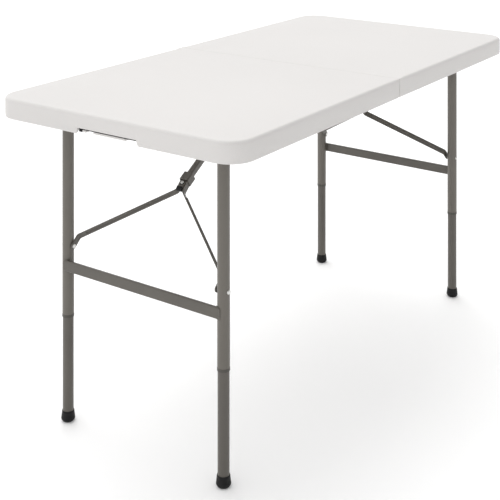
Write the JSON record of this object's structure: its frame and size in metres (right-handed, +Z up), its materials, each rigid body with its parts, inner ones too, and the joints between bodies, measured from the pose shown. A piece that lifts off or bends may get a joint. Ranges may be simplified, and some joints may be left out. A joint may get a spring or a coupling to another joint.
{
  "type": "folding picnic table",
  "caption": "Fold-in-half picnic table: moulded white top in two halves, folding telescopic steel leg frames, toggle braces and a swing-out carrying handle.",
  "frame": {"origin": "on the floor, under the middle of the open table top", "axes": "+X along the table's length towards the handle end, +Y across its width, +Z up"},
  "size_m": [1.219, 0.61, 0.675],
  "materials": {
    "moulded_top": "fine pebbled texture",
    "steel_frame": "taupe powder coat, satin",
    "zinc_fasteners": "bright zinc plate",
    "collar_plastic": "satin moulded plastic in the frame colour",
    "black_plastic": "fine-grained black plastic"
  },
  "bodies": {
    "left_half": {"left_panel": "moulded_top", "left_notch_strip": "black_plastic", "left_rail_front": "steel_frame", "left_rail_back": "steel_frame", "left_screws": "zinc_fasteners", "left_brace_bracket": "steel_frame", "left_bracket_pin": "zinc_fasteners", "left_pivot_bushes": "black_plastic", "left_hinge_leaves": "steel_frame", "hinge_pins": "zinc_fasteners"},
    "right_half": {"right_panel": "moulded_top", "right_rail_front": "steel_frame", "right_rail_back": "steel_frame", "right_screws": "zinc_fasteners", "right_brace_bracket": "steel_frame", "right_bracket_pin": "zinc_fasteners", "right_pivot_bushes": "black_plastic", "right_hinge_leaves": "steel_frame", "handle_clips": "black_plastic"},
    "left_leg_frame": {"left_pivot_tube": "steel_frame", "left_pivot_plugs": "black_plastic", "left_upper_leg_front": "steel_frame", "left_upper_leg_back": "steel_frame", "left_crossbar": "steel_frame", "left_leg_collars": "collar_plastic", "left_leg_rivets": "zinc_fasteners"},
    "left_lower_legs": {"left_lower_leg_front": "steel_frame", "left_lower_leg_back": "steel_frame", "left_foot_front": "black_plastic", "left_foot_back": "black_plastic"},
    "left_link": {"left_upper_link": "steel_frame", "left_link_cap": "black_plastic", "left_apex_rivet": "zinc_fasteners"},
    "left_ring": {"left_lock_ring": "steel_frame"},
    "left_brace_arms": {"left_arm_front": "steel_frame", "left_arm_back": "steel_frame", "left_arm_rivets": "zinc_fasteners"},
    "right_leg_frame": {"right_pivot_tube": "steel_frame", "right_pivot_plugs": "black_plastic", "right_upper_leg_front": "steel_frame", "right_upper_leg_back": "steel_frame", "right_crossbar": "steel_frame", "right_leg_collars": "collar_plastic", "right_leg_rivets": "zinc_fasteners"},
    "right_lower_legs": {"right_lower_leg_front": "steel_frame", "right_lower_leg_back": "steel_frame", "right_foot_front": "black_plastic", "right_foot_back": "black_plastic"},
    "right_link": {"right_upper_link": "steel_frame", "right_link_cap": "black_plastic", "right_apex_rivet": "zinc_fasteners"},
    "right_ring": {"right_lock_ring": "steel_frame"},
    "right_brace_arms": {"right_arm_front": "steel_frame", "right_arm_back": "steel_frame", "right_arm_rivets": "zinc_fasteners"},
    "handle": {"handle": "black_plastic"}
  },
  "joints": [
    {"name": "centre_fold", "type": "hinge", "parent": "left_half", "child": "right_half", "pos_m": [0, 0, 0.6335], "axis": [0, 1, 0], "range_deg": [0, 70]},
    {"name": "left_leg_fold", "type": "hinge", "parent": "left_half", "child": "left_leg_frame", "pos_m": [-0.505, 0, 0.651], "axis": [0, -1, 0], "range_deg": [0, 90]},
    {"name": "left_leg_slide", "type": "slide", "parent": "left_leg_frame", "child": "left_lower_legs", "axis": [0, 0, 1], "range_m": [0, 0.165]},
    {"name": "left_link_fold", "type": "hinge", "parent": "left_half", "child": "left_link", "pos_m": [-0.112, 0, 0.651], "axis": [0, 1, 0], "range_deg": [0, 31.99]},
    {"name": "left_apex_fold", "type": "hinge", "parent": "left_link", "child": "left_brace_arms", "pos_m": [-0.36394, 0, 0.49372], "axis": [0, -1, 0], "range_deg": [0, 168.95]},
    {"name": "left_ring_slide", "type": "slide", "parent": "left_link", "child": "left_ring", "axis": [0.8483, 0, 0.5296], "range_m": [0, 0.205]},
    {"name": "right_leg_fold", "type": "hinge", "parent": "right_half", "child": "right_leg_frame", "pos_m": [0.505, 0, 0.651], "axis": [0, 1, 0], "range_deg": [0, 90]},
    {"name": "right_leg_slide", "type": "slide", "parent": "right_leg_frame", "child": "right_lower_legs", "axis": [0, 0, 1], "range_m": [0, 0.165]},
    {"name": "right_link_fold", "type": "hinge", "parent": "right_half", "child": "right_link", "pos_m": [0.112, 0, 0.651], "axis": [0, -1, 0], "range_deg": [0, 31.99]},
    {"name": "right_apex_fold", "type": "hinge", "parent": "right_link", "child": "right_brace_arms", "pos_m": [0.36394, 0, 0.49372], "axis": [0, 1, 0], "range_deg": [0, 168.95]},
    {"name": "right_ring_slide", "type": "slide", "parent": "right_link", "child": "right_ring", "axis": [-0.8483, 0, 0.5296], "range_m": [0, 0.205]},
    {"name": "handle_swing", "type": "hinge", "parent": "right_half", "child": "handle", "pos_m": [0.592, 0, 0.636], "axis": [0, -1, 0], "range_deg": [0, 180]}
  ],
  "couplings": [
    {"joint": "left_leg_slide", "follows": "left_leg_fold", "m_per_rad": 0.10504},
    {"joint": "left_link_fold", "follows": "left_leg_fold", "ratio": 0.35529},
    {"joint": "left_apex_fold", "follows": "left_leg_fold", "ratio": 1.8771},
    {"joint": "left_ring_slide", "follows": "left_leg_fold", "m_per_rad": 0.13051},
    {"joint": "right_leg_slide", "follows": "right_leg_fold", "m_per_rad": 0.10504},
    {"joint": "right_link_fold", "follows": "right_leg_fold", "ratio": 0.35529},
    {"joint": "right_apex_fold", "follows": "right_leg_fold", "ratio": 1.8771},
    {"joint": "right_ring_slide", "follows": "right_leg_fold", "m_per_rad": 0.13051}
  ]
}
